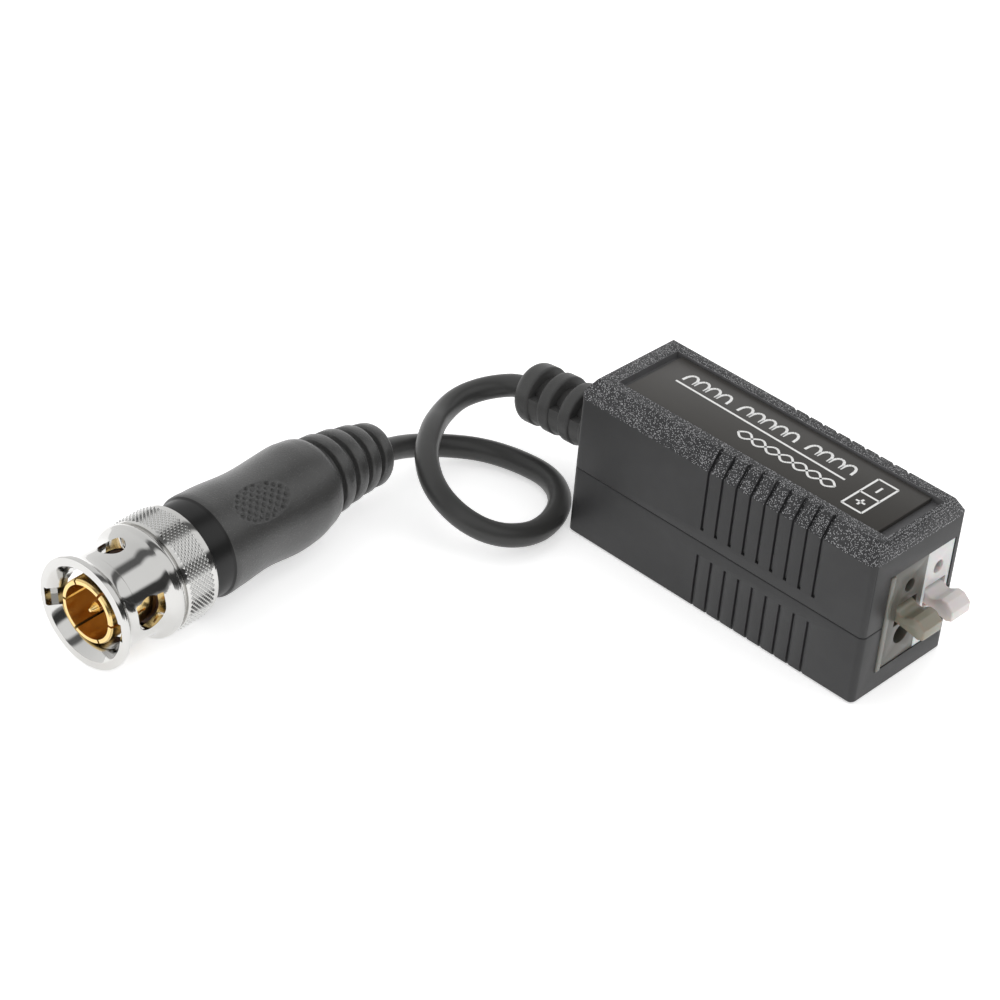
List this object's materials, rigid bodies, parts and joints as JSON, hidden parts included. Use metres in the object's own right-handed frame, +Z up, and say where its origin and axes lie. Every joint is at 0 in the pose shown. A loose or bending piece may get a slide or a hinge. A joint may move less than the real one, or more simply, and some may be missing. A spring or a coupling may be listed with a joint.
{
  "type": "cctv video balun",
  "caption": "Small ribbed video balun: dark two-part housing with a lever terminal at one end, and a strain relief, a short looped coax lead and a bayonet coax plug at the other.",
  "frame": {"origin": "middle of the housing's underside", "axes": "+X along the housing from the lead to the lever terminal, +Y across it, +Z up"},
  "size_m": [0.0756, 0.079, 0.022],
  "materials": {
    "shell_plastic": "smooth satin sides, coarse spark-eroded grain on the bevels",
    "label_film": "smooth, with a plain printed pattern",
    "clear_plastic": "translucent",
    "grey_plastic": "smooth",
    "white_plastic": "smooth",
    "spring_steel": "bright",
    "tinned_copper": "tinned",
    "board_laminate": "green mask",
    "ferrite": "dull",
    "enamelled_wire": "clear enamel",
    "ceramic": "glazed",
    "chip_body": "dull",
    "black_vinyl": "soft sheen",
    "nickel_plate": "bright, diamond knurl on the grip",
    "gold_plate": "bright",
    "amber_plastic": "smooth",
    "gasket_rubber": "dull"
  },
  "bodies": {
    "housing": {"housing_lower_shell": "shell_plastic", "housing_upper_shell": "shell_plastic", "label_plate": "label_film", "terminal_end_plate": "clear_plastic", "terminal_body_grey": "grey_plastic", "terminal_body_white": "white_plastic", "clamp_spring_grey": "spring_steel", "clamp_spring_white": "spring_steel", "contact_bar_grey": "tinned_copper", "contact_bar_white": "tinned_copper", "circuit_board": "board_laminate", "toroid_core": "ferrite", "winding_primary": "enamelled_wire", "winding_secondary": "enamelled_wire", "surge_arrester": "ceramic", "chip_parts": "chip_body", "cable_leads": "tinned_copper", "strain_relief": "black_vinyl", "cable": "black_vinyl", "plug_boot": "black_vinyl", "crimp_ferrule": "nickel_plate", "plug_body": "nickel_plate", "outer_contact": "gold_plate", "contact_insulator": "amber_plastic", "centre_pin": "gold_plate", "face_gasket": "gasket_rubber", "retaining_ring": "spring_steel", "wave_washer": "spring_steel"},
    "sleeve_slider": {"thrust_washer": "spring_steel"},
    "sleeve": {"coupling_sleeve": "nickel_plate"},
    "grey_lever": {"lever_grey": "grey_plastic"},
    "white_lever": {"lever_white": "white_plastic"}
  },
  "joints": [
    {"name": "sleeve_push", "type": "slide", "parent": "housing", "child": "sleeve_slider", "axis": [0.0698, -0.9976, 0], "range_m": [0, 0.0005], "stiffness_N_per_m": 8000, "springref_m": -0.0003, "deforming": ["wave_washer"]},
    {"name": "sleeve_turn", "type": "hinge", "parent": "sleeve_slider", "child": "sleeve", "pos_m": [-0.04046, -0.07006, 0.0072], "axis": [0.0698, -0.9976, 0], "continuous": true},
    {"name": "grey_lever_press", "type": "hinge", "parent": "housing", "child": "grey_lever", "pos_m": [0.0198, -0.00061, 0.01], "axis": [0, 1, 0], "range_deg": [0, 12], "stiffness_Nm_per_rad": 0.06, "springref_deg": -5.73, "deforming": ["clamp_spring_grey"]},
    {"name": "white_lever_press", "type": "hinge", "parent": "housing", "child": "white_lever", "pos_m": [0.0198, 0.00479, 0.01], "axis": [0, 1, 0], "range_deg": [0, 12], "stiffness_Nm_per_rad": 0.06, "springref_deg": -5.73, "deforming": ["clamp_spring_white"]}
  ]
}
